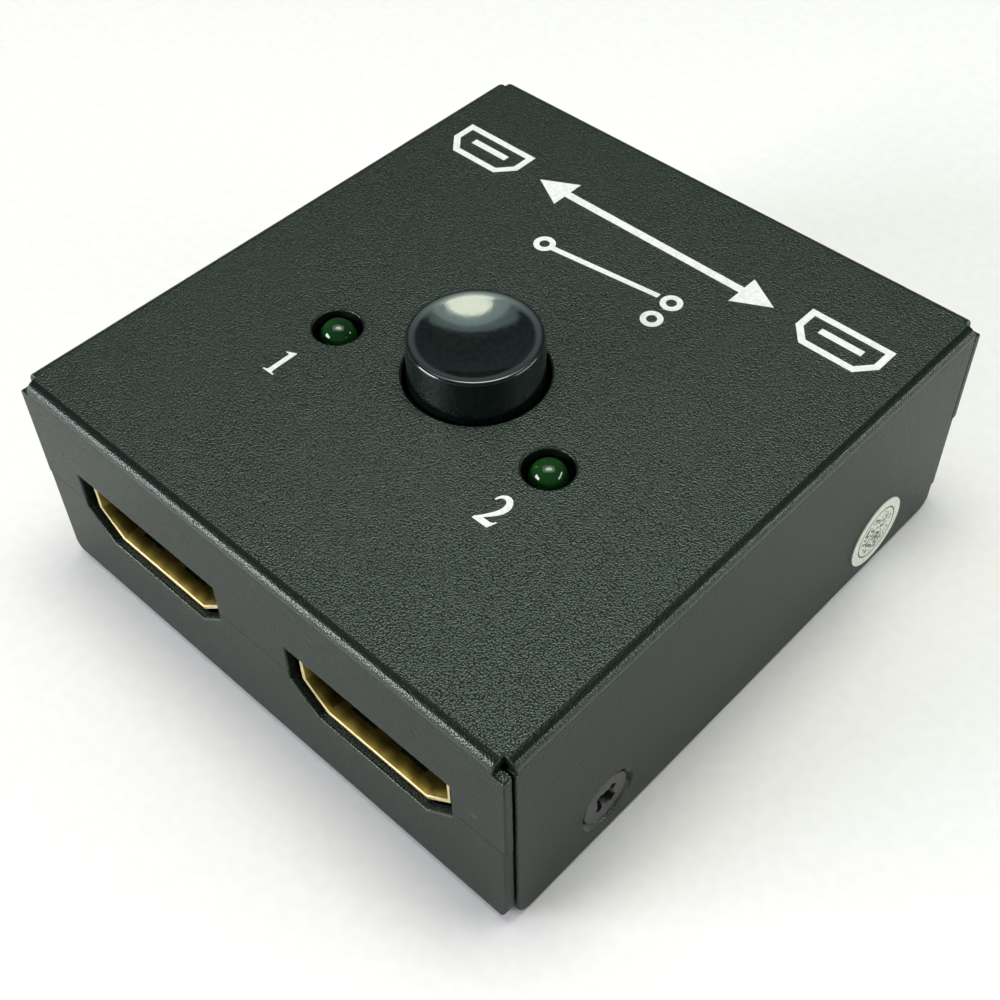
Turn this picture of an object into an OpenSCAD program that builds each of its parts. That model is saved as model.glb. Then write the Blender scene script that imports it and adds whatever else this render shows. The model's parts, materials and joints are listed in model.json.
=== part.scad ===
// Two-way video switch box: a folded steel case with two D-shaped video sockets
// on the input end, one on the output end, a latching push switch under a round
// dished button, and two indicator lamps. All sizes are in millimetres.
// X runs across the input end, +Y from the input end to the output end, +Z up.
// The origin is the middle of the underside of the case.

/* [Case] */
// Width across the side walls
case_w = 52; // [50.5:0.5:70]
// Depth from the input end to the output end
case_d = 55.5; // [53:0.5:80]
// Height of the top face above the table
case_h = 21; // [19:0.5:30]
// Thickness of the coated sheet
sheet_t = 0.8; // [0.6:0.1:1]
// Inside radius of the folds
bend_inner_r = 0.2; // [0.1:0.05:0.4]
// Gap between cover and tray along the end walls
seam_gap = 0.05; // [0.05:0.05:0.4]
// Gap between the end walls and the side walls tucked behind them
side_gap = 0.2; // [0.1:0.05:0.5]
// Gap between the cover's side walls and the tray's walls inside them
fit_gap = 0.15; // [0.1:0.05:0.25]
// Height of the side walls' lower edges above the table
cover_foot = 0.15; // [0.1:0.05:0.5]
// Size of the notch where three folds of the cover meet
corner_relief = 1.1; // [1:0.1:1.8]
// How far the cover's end walls stop short of its side faces
cover_end_inset = 0.1; // [0.05:0.05:0.4]
// How far the tray's end walls stop short of the cover's side faces
tray_end_inset = 0.25; // [0.1:0.05:0.6]
// Radius of the side walls' lower corners
side_corner_r = 1.3; // [0.8:0.1:2]
// Radius of the tray's end walls' lower corners
tray_corner_r = 1.5; // [1:0.1:2]
// Room between the tray's side walls and its end walls
tray_relief = 2; // [1:0.5:4]

/* [Cover screws] */
// Thread diameter
screw_d = 2.5; // [2:0.1:2.8]
// Length with the countersunk head
screw_len = 4; // [3.6:0.1:4.4]
// Head diameter
head_d = 4.7; // [4.3:0.1:5]
// Height of the head's straight rim
head_rim = 0.2; // [0.1:0.05:0.3]
// Diameter of the pressed dimple
dimple_d = 5.6; // [5.4:0.1:6.4]
// Distance from the ends of the case
screw_from_end = 10.6; // [9:0.1:14]
// Height above the table
screw_z = 4.5; // [4.3:0.1:5.2]
// Width of the cross recess
cross_w = 0.7; // [0.5:0.05:0.9]
// Span of the cross recess
cross_span = 2.6; // [2:0.1:3]
// Depth of the cross recess
cross_depth = 1.1; // [0.6:0.1:1.3]

/* [Seal sticker] */
// Diameter
sticker_d = 6.8; // [6.6:0.1:7.6]
// Thickness
sticker_t = 0.1; // [0.05:0.05:0.3]

/* [Video sockets] */
// Width of the opening
socket_w = 14; // [13.4:0.1:14.6]
// Height of the opening
socket_h = 4.55; // [4.3:0.05:5]
// Width of the lower bevels
socket_bevel_w = 2.05; // [1.5:0.05:2.5]
// Height of the lower bevels
socket_bevel_h = 1.9; // [1.5:0.05:2.2]
// Sheet thickness of the shell
shell_t = 0.3; // [0.2:0.05:0.4]
// Length of the shell
shell_len = 11.5; // [10.5:0.1:12.5]
// How far the lip flares out
flare = 0.4; // [0.2:0.05:0.6]
// Length of the flared lip
flare_len = 1; // [0.6:0.1:1.2]
// Depth of the lip behind the face of the end wall
lip_recess = 0.6; // [0.4:0.05:1.1]
// Distance of the input sockets' middles from the sides of the case
input_from_side = 13.6; // [12.8:0.1:15]
// Room beside the lip in the end wall
cutout_gap_w = 0.65; // [0.3:0.05:0.8]
// Room above and below the lip in the end wall
cutout_gap_h = 0.125; // [0.05:0.025:0.4]
// Depth of the shell springs' windows behind the lip
spring_y = 1.2; // [1.2:0.1:1.8]
// Distance of the shell springs from the middle of the socket
spring_x = 2.6; // [2.2:0.1:3.2]
// Width of the shell springs
spring_w = 2; // [1.4:0.1:2.2]
// Length of the shell springs
spring_len = 4.8; // [3.5:0.1:5.4]
// Rise of the shell springs into the opening
spring_rise = 0.35; // [0.1:0.05:0.5]
// Gap around the shell springs
spring_gap = 0.3; // [0.2:0.05:0.4]
// Width of the solder legs
leg_w = 1.2; // [0.8:0.1:1.6]
// Distance of the front solder legs behind the lip
leg_front = 2.6; // [2.2:0.1:3]
// Distance of the rear solder legs from the shell's end
leg_back = 3; // [2.4:0.1:3.6]
// Width of the tongue
tongue_w = 10.6; // [10:0.1:11]
// Thickness of the tongue
tongue_t = 1.3; // [1:0.05:1.6]
// Height of the tongue above the middle of the opening
tongue_rise = 0.3; // [0.1:0.05:0.5]
// Depth of the tongue behind the lip
tongue_recess = 1.6; // [1:0.1:2]
// Length of the insulator behind the tongue
insulator_len = 4; // [3:0.1:4.5]
// Distance between contacts in a row
contact_pitch = 1; // [0.9:0.01:1.05]
// Width of a contact
contact_w = 0.34; // [0.25:0.01:0.38]
// Thickness of a contact
contact_t = 0.15; // [0.1:0.01:0.2]
// Height of the contacts above the tongue
contact_proud = 0.05; // [0.02:0.01:0.08]
// Length of the contact feet on the board
contact_foot = 1; // [0.6:0.1:1.4]

/* [Button] */
// Diameter at the rim
button_d = 10.7; // [9.6:0.1:11.4]
// Extra radius at the foot of the button
button_draft = 0.2; // [0.05:0.05:0.4]
// Height of the rim above the top face
button_proud = 3.8; // [2.6:0.1:4.5]
// Distance in front of the middle of the case
button_front = 3.2; // [2:0.1:4.5]
// Gap around the button in the cover
button_gap = 0.3; // [0.3:0.05:0.6]
// Travel of the button
button_travel = 2; // [1.2:0.1:2.2]
// Depth of the dish in the top
dish_depth = 1.2; // [0.6:0.1:1.5]
// Width of the rim around the dish
rim_w = 0.6; // [0.4:0.05:0.9]
// Edge radius of the rim
rim_r = 0.3; // [0.1:0.05:0.4]
// Thickness of the outer wall
button_wall = 1.1; // [0.8:0.1:1.4]
// Thickness under the dish
button_roof = 1; // [0.7:0.1:1.3]
// Wall of the boss at the stem's corners
boss_wall = 0.6; // [0.4:0.05:0.8]

/* [Push switch] */
// Width of the housing
switch_w = 8.5; // [8.2:0.1:9.4]
// Height of the housing
switch_h = 7.4; // [7.2:0.1:7.8]
// Wall thickness of the housing
switch_wall = 1; // [0.9:0.05:1.1]
// Floor thickness of the housing
switch_floor = 1; // [0.8:0.1:1.1]
// Sheet thickness of the frame
frame_t = 0.4; // [0.3:0.05:0.5]
// Width of the stem
stem_w = 4; // [3.6:0.1:4.4]
// Side clearance of the plunger in the housing
slide_gap = 0.1; // [0.06:0.01:0.14]
// Gap left under the plunger at full travel
stop_gap = 0.25; // [0.1:0.05:0.3]
// Gap left under the button at full travel
press_gap = 0.4; // [0.3:0.1:0.8]
// Outside diameter of the return spring
coil_d = 3; // [2.6:0.1:3.3]
// Wire of the return spring
coil_wire = 0.3; // [0.2:0.02:0.34]
// Turns of the return spring
coil_turns = 6; // [5:1:7]
// Wire of the latch pin
latch_wire = 0.5; // [0.4:0.05:0.55]
// Width of the terminals
terminal_w = 0.8; // [0.6:0.05:1]
// Thickness of the terminals
terminal_t = 0.3; // [0.25:0.05:0.35]
// Distance between terminals in a row
terminal_pitch = 2; // [1.6:0.1:2.2]
// Height of the terminals above the housing floor
terminal_rise = 4.4; // [4:0.1:4.8]

/* [Indicator lamps] */
// Diameter of the lens
lamp_d = 3; // [2.8:0.1:3.4]
// Length of the lens
lamp_len = 5.3; // [4.6:0.1:6]
// Diameter of the lens flange
lamp_flange_d = 3.8; // [3.6:0.1:4.4]
// Height of the lens flange
lamp_flange_h = 1; // [0.7:0.1:1.3]
// Height of the dome above the top face
lamp_proud = 0.5; // [0.3:0.1:1.5]
// Sideways shift of the pair of lamps
lamp_shift = -0.4; // [-1:0.1:1]
// Distance between the lamps
lamp_pitch = 22.6; // [20:0.2:26]
// Distance in front of the middle of the case
lamp_front = 7; // [5.5:0.1:8]
// Diameter of the hole in the cover
lamp_hole_d = 4.1; // [3.9:0.1:4.8]
// Width of the square leads
lead_w = 0.5; // [0.4:0.05:0.6]
// Distance between the leads
lead_pitch = 2.54; // [2.2:0.02:2.6]
// Height of the post inside the lens
post_h = 1.9; // [1.5:0.1:2.4]
// Height of the anvil inside the lens
anvil_h = 2.1; // [1.6:0.1:2.6]

/* [Circuit board] */
// Thickness
board_t = 1.6; // [1:0.1:2]
// Room between the board and the end walls
board_end_gap = 1.2; // [1.1:0.1:1.8]
// Room between the board and the cover screws
board_side_gap = 0.55; // [0.3:0.05:0.8]
// Clearance around pins and legs in the board
pin_gap = 0.1; // [0.05:0.01:0.15]
// Length of the pins below the board
pin_below = 0.9; // [0.5:0.1:1.4]
// Diameter of the standoffs
standoff_d = 4.6; // [4.2:0.1:5]
// Diameter of the standoffs' clinched feet
clinch_d = 3.8; // [3.4:0.1:4]
// Distance of the standoffs from the board's edges
standoff_inset = 3.4; // [3:0.1:3.8]
// Distance of the front standoffs behind the socket contacts
standoff_behind = 3; // [2.6:0.1:3.6]
// Thread of the board screws
board_screw_d = 2.4; // [2:0.1:2.5]
// Head diameter of the board screws
board_head_d = 4.4; // [4:0.1:4.8]
// Head height of the board screws
board_head_h = 1.5; // [1:0.1:1.9]
// Length of the board screws below the head
board_screw_len = 5; // [4:0.1:5.5]
// Clearance of threads and clinched feet
thread_gap = 0.05; // [0.03:0.01:0.08]
// Body width of the switching chip
chip_w = 7; // [6.6:0.1:7.4]
// Body height of the switching chip
chip_h = 1; // [0.8:0.1:1.4]
// Distance between the chip's leads
chip_pitch = 0.5; // [0.4:0.01:0.52]
// Length of a small chip part
smd_len = 1.6; // [1.2:0.1:2]
// Width of a small chip part
smd_w = 0.8; // [0.5:0.05:1]
// Height of a small chip part
smd_h = 0.5; // [0.3:0.05:0.8]
// Room between small chip parts
smd_gap = 0.8; // [0.6:0.05:0.9]
// Reach of the chip's leads
chip_lead = 0.95; // [0.7:0.05:1.2]
// Width of the supply regulator
regulator_w = 2.9; // [2.4:0.1:3.4]
// Depth of the supply regulator
regulator_d = 1.3; // [1.1:0.1:1.7]
// Height of the supply regulator
regulator_h = 1; // [0.8:0.1:1.3]
// Reach of the supply regulator's leads
regulator_lead = 0.55; // [0.4:0.05:0.8]
// Distance of the supply regulator behind the front standoff
regulator_back = 9; // [5:0.5:12]

/* [Hidden] */
$fn = 64;
bend_r = bend_inner_r + sheet_t;
seam_z = case_h / 2;
over = 1;

// Depth in from the side faces of the dimpled screw seats
dimple_r = dimple_d / 2;
screw_hole_r = screw_d / 2 + 0.15;
tap_r = screw_d / 2 + thread_gap;
head_top = dimple_r - head_d / 2 - head_rim - thread_gap;
screw_y = case_d / 2 - screw_from_end;
tray_side_in = sheet_t + fit_gap;
tray_side_x = case_w / 2 - tray_side_in;
tray_side_h = screw_z + dimple_r + 1;
relief_h = bend_r + 0.25;

// The sockets, each with its place across the case and the end it faces
input_x = case_w / 2 - input_from_side;
SOCKETS = [[-input_x, -1], [input_x, -1], [0, 1]];
mouth_y = case_d / 2 - lip_recess;
shell_half_h = socket_h / 2 + shell_t;
lip_grow = shell_t + flare;
cutout_w = socket_w + 2 * (lip_grow + cutout_gap_w);
cutout_h = socket_h + 2 * (lip_grow + cutout_gap_h);
window_len = spring_len + spring_gap;
leg_y = [leg_front, shell_len - leg_back];
foot_y = shell_len + 0.15 + contact_t;
tongue_top = tongue_rise + tongue_t / 2;
tongue_low = tongue_rise - tongue_t / 2;

// Heights of the board and of the parts that stand on it
board_top = seam_z - shell_half_h;
board_low = board_top - board_t;
board_w = case_w - 2 * (head_top + screw_len + board_side_gap);
board_d = case_d - 2 * (sheet_t + board_end_gap);
pin_low = board_low - pin_below;
standoff_x = board_w / 2 - standoff_inset;
standoff_front = -mouth_y + foot_y + contact_foot + standoff_behind;
standoff_rear = board_d / 2 - standoff_inset;
STANDOFFS = [
    [-standoff_x, standoff_front],
    [standoff_x, standoff_front],
    [-standoff_x, standoff_rear],
    [standoff_x, standoff_rear],
];

// Heights of the switch and the button at rest
button_y = -button_front;
button_r = button_d / 2;
frame_low = board_top + switch_h;
frame_top = frame_low + frame_t;
button_low = frame_top + button_travel + press_gap;
button_top = case_h + button_proud;
stem_top = button_top - dish_depth - button_roof;
dish_edge = button_r - rim_w;
dish_r = (dish_edge * dish_edge + dish_depth * dish_depth) / (2 * dish_depth);
button_hole_r = button_r + button_draft + button_gap;
boss_r = stem_w * sqrt(2) / 2 + boss_wall;
cavity_w = switch_w - 2 * switch_wall;
block_w = cavity_w - 2 * slide_gap;
block_low = board_top + switch_floor + button_travel + stop_gap;
block_top = frame_low - 0.05;
coil_low = board_top + switch_floor + 0.03;
coil_top = block_low + (block_top - block_low) * 0.65;
coil_bore_r = coil_d / 2 + 0.2;
terminal_high = switch_floor + terminal_rise;
frame_leg_x = switch_w / 2 + 0.05 + frame_t / 2;
wiper_recess = 0.55;
wiper_h = 1.2;
wiper_z = block_low + 1.1;
rib_r = 0.3;
wiper_span = terminal_pitch + terminal_w;
wiper_t = 0.2;
latch_x = -0.8;
latch_z = block_low + 0.9;
latch_tip = 0.6;
pocket_w = 2.6;
pocket_deep = 0.8;
pocket_low = latch_z - latch_wire / 2 - 0.2;
pocket_high = latch_z + button_travel + latch_wire / 2 + 0.15;

// Heights of the lamps
lamp_y = -lamp_front;
lamp_top = case_h + lamp_proud;
lamp_low = lamp_top - lamp_len;

// Places of the small parts on the board
chip_y = (button_y + switch_w / 2 + mouth_y - foot_y - contact_foot) / 2;
smd_y = -mouth_y + foot_y + contact_foot + 0.6 + smd_len / 2;
smd_pitch = smd_w + smd_gap;
SMD_X = [for (k = [-1.5:1.5]) k * smd_pitch];
CAP_X = [for (k = [0:2]) chip_w / 2 + chip_lead + smd_gap + smd_w / 2 + k * smd_pitch];

// A strip outline with its two upper corners rounded, top edge on the X axis
module rounded_top(w, h, r) {
    translate([-w / 2, -h]) square([w, h - r]);
    translate([-w / 2 + r, -r]) square([w - 2 * r, r]);
    for (s = [-1, 1]) translate([s * (w / 2 - r), -r]) circle(r);
}

// Outline of a plate with a wall folded down at each edge
module fold_outline(w, h) {
    difference() {
        rounded_top(w, h, bend_r);
        translate([0, -sheet_t]) rounded_top(w - 2 * sheet_t, h, bend_inner_r);
    }
}

// Plate with both end walls folded down, running along X, top face at zero
module end_fold(length, h) {
    rotate([90, 0, 90]) linear_extrude(length, center = true) fold_outline(case_d, h);
}

// Plate with both side walls folded down, running along Y, top face at zero
module side_fold(length, w, h) {
    rotate([90, 0, 0]) linear_extrude(length, center = true) fold_outline(w, h);
}

// D-shaped outline grown outwards by g, wide side up
function d_outline(w, h, bevel_w, bevel_h, g = 0) =
    let (
        a = atan(bevel_w / bevel_h),
        x = w / 2 + g,
        z = h / 2 + g,
        zb = -h / 2 + bevel_h - g * tan(a / 2),
        xb = w / 2 - bevel_w + g * tan((90 - a) / 2)
    )
    [[-x, z], [x, z], [x, zb], [xb, -z], [-xb, -z], [-x, zb]];

function socket_outline(g) = d_outline(socket_w, socket_h, socket_bevel_w, socket_bevel_h, g);

// Prism of an X-Z outline between two Y positions
module prism_y(outline, y0, y1) {
    translate([0, y1, 0]) rotate([90, 0, 0]) linear_extrude(y1 - y0) polygon(outline);
}

// Solid between two six-sided X-Z outlines at two Y positions
module frustum_y(front, back, y0, y1) {
    polyhedron(
        points = concat([for (p = front) [p.x, y0, p.y]], [for (p = back) [p.x, y1, p.y]]),
        faces = concat(
            [[0, 1, 2, 3, 4, 5], [11, 10, 9, 8, 7, 6]],
            [for (i = [0:5]) each let (n = (i + 1) % 6) [[n, i, i + 6], [n, i + 6, n + 6]]]
        )
    );
}

// Place across the case of the lamp on one side
function lamp_at(side) = side * lamp_pitch / 2 + lamp_shift;

// Outward flare of the lip at a depth behind its edge
function flare_at(y) = flare * pow(1 - y / flare_len, 2);

// Bell-shaped lip of a socket shell, grown by g
module flared_lip(g) {
    steps = [0, 0.3 * flare_len, 0.6 * flare_len, flare_len];
    for (k = [0:2])
        frustum_y(
            socket_outline(g + flare_at(steps[k])),
            socket_outline(g + flare_at(steps[k + 1])), steps[k], steps[k + 1]);
}

// Puts a part at socket i, mouth at zero and +Y into the case
module at_socket(i) {
    s = SOCKETS[i];
    translate([s.x, s.y * mouth_y, seam_z]) rotate([0, 0, s.y > 0 ? 180 : 0]) children();
}

// Puts a part at each cover screw, +Z pointing into the case from the side face
module at_cover_screws() {
    for (sx = [-1, 1]) for (sy = [-1, 1])
        translate([sx * case_w / 2, sy * screw_y, screw_z]) rotate([0, -sx * 90, 0]) children();
}

module socket_cutouts() {
    outline = d_outline(cutout_w, cutout_h, socket_bevel_w + 0.6, socket_bevel_h + 0.4);
    for (i = [0:2]) at_socket(i) prism_y(outline, -lip_recess - over, sheet_t - lip_recess + 0.1);
}

// Back of a pressed dimple in a sheet whose outer face is at depth d
module dimple_back(d, hole_r) {
    translate([0, 0, d + sheet_t - 0.1]) cylinder(h = 0.1, r = dimple_r);
    translate([0, 0, d + sheet_t]) cylinder(h = dimple_r - hole_r, r1 = dimple_r, r2 = hole_r);
}

// Hollow of a pressed dimple with its screw hole
module dimple_cut(d, hole_r) {
    translate([0, 0, d]) cylinder(h = dimple_r - hole_r, r1 = dimple_r, r2 = hole_r);
    translate([0, 0, d - 0.1]) cylinder(h = 0.1, r = dimple_r);
    translate([0, 0, d]) cylinder(h = dimple_r + sheet_t + over, r = hole_r);
}

module top_cover() {
    side_len = case_d - 2 * (sheet_t + side_gap);
    color([0.07, 0.075, 0.072]) difference() {
        union() {
            translate([0, 0, case_h]) {
                intersection() {
                    end_fold(case_w - 2 * cover_end_inset, case_h - seam_z - seam_gap / 2);
                    rotate([90, 0, 0]) linear_extrude(case_d + 2 * over, center = true)
                        rounded_top(case_w, case_h, bend_r);
                }
                side_fold(side_len, case_w, case_h - cover_foot);
            }
            at_cover_screws() dimple_back(0, screw_hole_r);
        }
        at_cover_screws() dimple_cut(0, screw_hole_r);
        socket_cutouts();
        translate([0, button_y, seam_z]) cylinder(h = case_h, r = button_hole_r);
        for (s = [-1, 1]) translate([lamp_at(s), lamp_y, seam_z]) cylinder(h = case_h, d = lamp_hole_d);
        // Notches where the folds meet at the four upper corners
        for (sx = [-1, 1]) for (sy = [-1, 1])
            translate([sx * case_w / 2, sy * case_d / 2, case_h - relief_h + case_h / 2])
                cube([2 * corner_relief, 2 * corner_relief, case_h], center = true);
        // Rounded lower corners of the side walls
        for (s = [-1, 1]) translate([0, s * side_len / 2, cover_foot]) difference() {
            cube([case_w + 2 * over, 2 * side_corner_r, 2 * side_corner_r], center = true);
            translate([0, -s * side_corner_r, side_corner_r]) rotate([0, 90, 0])
                cylinder(h = case_w + 4 * over, r = side_corner_r, center = true);
        }
    }
}

module bottom_tray() {
    fold_x = tray_side_x - bend_r;
    color([0.07, 0.075, 0.072]) difference() {
        union() {
            difference() {
                mirror([0, 0, 1]) intersection() {
                    end_fold(case_w - 2 * tray_end_inset, seam_z - seam_gap / 2);
                    rotate([90, 0, 0]) linear_extrude(case_d + 2 * over, center = true)
                        rounded_top(case_w - 2 * tray_end_inset, case_h, tray_corner_r);
                }
                for (s = [-1, 1]) {
                    translate([s * (fold_x + case_w / 2), 0, 0])
                        cube([case_w, case_d - 2 * bend_r, 4 * bend_r], center = true);
                    translate([s * (tray_side_x + case_w / 2), 0, 0])
                        cube([case_w, case_d - 2 * sheet_t, 4 * bend_r], center = true);
                }
            }
            mirror([0, 0, 1])
                side_fold(case_d - 2 * (sheet_t + tray_relief), 2 * tray_side_x, tray_side_h);
            at_cover_screws() dimple_back(tray_side_in, tap_r);
        }
        at_cover_screws() dimple_cut(tray_side_in, tap_r);
        socket_cutouts();
        for (p = STANDOFFS) translate([p.x, p.y, -over])
            cylinder(h = sheet_t + 2 * over, d = clinch_d + 2 * thread_gap);
    }
}

module cover_screws() {
    seat_h = (head_d - screw_d) / 2;
    color([0.05, 0.05, 0.055]) at_cover_screws() translate([0, 0, head_top]) difference() {
        union() {
            cylinder(h = head_rim, d = head_d);
            translate([0, 0, head_rim]) cylinder(h = seat_h, d1 = head_d, d2 = screw_d);
            translate([0, 0, head_rim]) cylinder(h = screw_len - head_rim - 0.3, d = screw_d);
            translate([0, 0, screw_len - 0.3]) cylinder(h = 0.3, d1 = screw_d, d2 = screw_d - 0.6);
        }
        for (a = [45, 135]) rotate([0, 0, a])
            cube([cross_span, cross_w, 2 * cross_depth], center = true);
        translate([0, 0, -0.01])
            cylinder(h = cross_depth + 0.3, r1 = cross_span * 0.36, r2 = cross_w * 0.3);
    }
}

module seal_sticker() {
    color([0.86, 0.86, 0.84])
        translate([case_w / 2, screw_y + 0.2, screw_z]) rotate([0, 90, 0])
            cylinder(h = sticker_t, d = sticker_d);
}

// Slots and holes of everything that passes through the board
module board_holes() {
    z0 = board_low - over;
    h = board_t + 2 * over;
    for (p = STANDOFFS) translate([p.x, p.y, z0]) cylinder(h = h, d = board_screw_d + 0.4);
    for (i = [0:2]) at_socket(i) for (s = [-1, 1]) for (y = leg_y)
        translate([s * (socket_w + shell_t) / 2, y, z0 - seam_z + h / 2])
            cube([shell_t + 2 * pin_gap, leg_w + 2 * pin_gap, h], center = true);
    for (s = [-1, 1]) for (t = [-1, 1])
        translate([lamp_at(s) + t * lead_pitch / 2, lamp_y, z0])
            cylinder(h = h, r = lead_w * 0.71 + pin_gap);
    at_terminals(pin_gap) translate([0, 0, z0 + h / 2]) cube([$tx, $ty, h], center = true);
    for (s = [-1, 1]) translate([s * frame_leg_x, button_y, z0 + h / 2])
        cube([frame_t + 2 * pin_gap, leg_w + 2 * pin_gap, h], center = true);
}

module circuit_board() {
    color([0.05, 0.28, 0.13]) difference() {
        translate([-board_w / 2, -board_d / 2, board_low]) cube([board_w, board_d, board_t]);
        board_holes();
    }
}

module board_standoffs() {
    color([0.7, 0.7, 0.72]) for (p = STANDOFFS) translate([p.x, p.y, 0]) difference() {
        union() {
            translate([0, 0, 0.1]) cylinder(h = sheet_t, d = clinch_d);
            translate([0, 0, sheet_t]) cylinder(h = board_low - sheet_t, d = standoff_d);
        }
        translate([0, 0, sheet_t]) cylinder(h = board_low, r = board_screw_d / 2 + thread_gap);
    }
}

module board_screws() {
    reach = min(board_screw_len, board_top - sheet_t - 0.3);
    color([0.75, 0.75, 0.77]) for (p = STANDOFFS) translate([p.x, p.y, board_top]) difference() {
        union() {
            cylinder(h = board_head_h, d = board_head_d);
            translate([0, 0, -reach]) cylinder(h = reach, d = board_screw_d);
        }
        for (a = [0, 90]) rotate([0, 0, a]) translate([0, 0, board_head_h])
            cube([board_head_d * 0.6, 0.6, board_head_h], center = true);
    }
}

// One spring of a socket shell, rooted at its inner end and rising into the opening
module shell_spring() {
    tilt = asin(spring_rise / spring_len);
    root = shell_t;
    translate([0, spring_y + window_len, -shell_half_h + root * sin(tilt)]) rotate([-tilt, 0, 0])
        translate([-spring_w / 2, -spring_len, 0]) cube([spring_w, spring_len + root, shell_t * 0.8]);
}

module socket_shell(i) {
    leg_h = seam_z - pin_low;
    color([0.72, 0.56, 0.24]) at_socket(i) {
        difference() {
            union() {
                prism_y(socket_outline(shell_t), flare_len, shell_len);
                flared_lip(shell_t);
                for (s = [-1, 1]) for (y = leg_y)
                    translate([s * (socket_w + shell_t) / 2, y, -leg_h / 2])
                        cube([shell_t, leg_w, leg_h], center = true);
            }
            prism_y(socket_outline(0), flare_len, shell_len + over);
            flared_lip(0);
            for (s = [-1, 1]) translate([s * spring_x, spring_y + window_len / 2, 0])
                cube([spring_w + 2 * spring_gap, window_len, socket_h + 4 * shell_t], center = true);
        }
        for (s = [-1, 1]) translate([s * spring_x, 0, 0]) {
            shell_spring();
            mirror([0, 0, 1]) shell_spring();
        }
    }
}

// Side view of one contact: blade on the tongue, drop behind the insulator and foot
function contact_outline(z, g) =
    let (f = -shell_half_h)
    [
        [tongue_recess + 0.6 - g, z + g], [foot_y + g, z + g], [foot_y + g, f + contact_t + g],
        [foot_y + contact_foot + g, f + contact_t + g], [foot_y + contact_foot + g, f],
        [foot_y - contact_t - g, f], [foot_y - contact_t - g, z - contact_t - g],
        [tongue_recess + 0.6 - g, z - contact_t - g],
    ];

// The two rows of contacts, grown by g
module contact_rows(g = 0) {
    for (r = [0, 1]) for (k = [0:9 - r])
        translate([(k - (9 - r) / 2) * contact_pitch - contact_w / 2 - g, 0, 0])
            rotate([90, 0, 90]) linear_extrude(contact_w + 2 * g) polygon(contact_outline(
                r == 0 ? tongue_top + contact_proud : tongue_low - contact_proud + contact_t, g));
}

module socket_insulator(i) {
    y1 = shell_len - insulator_len;
    chamfer = 0.25;
    side = [
        [tongue_recess, tongue_low + chamfer], [tongue_recess + chamfer, tongue_low],
        [y1 + over, tongue_low], [y1 + over, tongue_top],
        [tongue_recess + chamfer, tongue_top], [tongue_recess, tongue_top - chamfer],
    ];
    color([0.03, 0.03, 0.03]) at_socket(i) difference() {
        union() {
            prism_y(socket_outline(-0.03), y1, shell_len);
            translate([-tongue_w / 2, 0, 0]) rotate([90, 0, 90]) linear_extrude(tongue_w) polygon(side);
        }
        contact_rows(0.02);
    }
}

module socket_contacts(i) {
    color([0.85, 0.66, 0.25]) at_socket(i) contact_rows();
}

module input_socket_1_shell() { socket_shell(0); }
module input_socket_1_insulator() { socket_insulator(0); }
module input_socket_1_contacts() { socket_contacts(0); }
module input_socket_2_shell() { socket_shell(1); }
module input_socket_2_insulator() { socket_insulator(1); }
module input_socket_2_contacts() { socket_contacts(1); }
module output_socket_shell() { socket_shell(2); }
module output_socket_insulator() { socket_insulator(2); }
module output_socket_contacts() { socket_contacts(2); }

module button_cap() {
    foot_r = button_r + button_draft;
    color([0.02, 0.02, 0.022]) translate([0, button_y, 0]) difference() {
        rotate_extrude() difference() {
            polygon([[0, button_low], [foot_r, button_low], [button_r, button_top], [0, button_top]]);
            // Dish
            intersection() {
                translate([0, button_top - dish_depth + dish_r]) circle(dish_r, $fn = 128);
                translate([0, button_low]) square([foot_r, case_h]);
            }
            // Rounded rim edge
            difference() {
                translate([button_r - rim_r, button_top - rim_r]) square([rim_r + over, rim_r + over]);
                translate([button_r - rim_r, button_top - rim_r]) circle(rim_r);
            }
            // Hollow between the wall and the boss
            translate([boss_r, button_low - over])
                square([button_r - button_wall - boss_r, stem_top - button_low + over]);
        }
        translate([0, 0, (button_low - over + stem_top) / 2])
            cube([stem_w + 0.04, stem_w + 0.04, stem_top - button_low + over], center = true);
    }
}

module switch_plunger() {
    heart = [[-0.35, 0.35], [0, 0], [0.4, 0.5], [0.4, 0.9], [0.05, 0.7], [-0.3, 0.95]];
    face_y = -block_w / 2;
    color([0.85, 0.85, 0.83]) translate([0, button_y, 0]) {
        difference() {
            union() {
                translate([-block_w / 2, -block_w / 2, block_low])
                    cube([block_w, block_w, block_top - block_low]);
                translate([-stem_w / 2, -stem_w / 2, block_top - 0.1])
                    cube([stem_w, stem_w, stem_top - 0.02 - block_top + 0.1]);
            }
            translate([0, 0, block_low - over])
                cylinder(h = coil_top + 0.03 - block_low + over, r = coil_bore_r);
            // Latch pocket in the front face
            translate([-pocket_w / 2, face_y - over, pocket_low])
                cube([pocket_w, pocket_deep + over, pocket_high - pocket_low]);
            // Recesses for the wipers
            for (s = [-1, 1]) translate([s * block_w / 2, 0, wiper_z])
                cube([2 * wiper_recess, wiper_span + slide_gap, wiper_h + slide_gap], center = true);
        }
        // Heart-shaped latch cam
        translate([0.15, face_y + pocket_deep + 0.05, pocket_low + (pocket_high - pocket_low) * 0.4])
            rotate([90, 0, 0]) linear_extrude(pocket_deep - 0.1) polygon(heart);
    }
}

// Bridging springs that the plunger carries, each with a rounded rib towards the terminals
module switch_wipers() {
    rib_x = block_w / 2 + slide_gap - 0.05;
    base_x = block_w / 2 - wiper_recess;
    color([0.8, 0.6, 0.35]) translate([0, button_y, wiper_z]) for (s = [-1, 1]) {
        translate([s * (base_x + wiper_t / 2), 0, 0]) cube([wiper_t, wiper_span, wiper_h], center = true);
        translate([s * (rib_x - rib_r), 0, 0]) rotate([90, 0, 0])
            cylinder(h = wiper_span, r = rib_r, center = true);
    }
}

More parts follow.
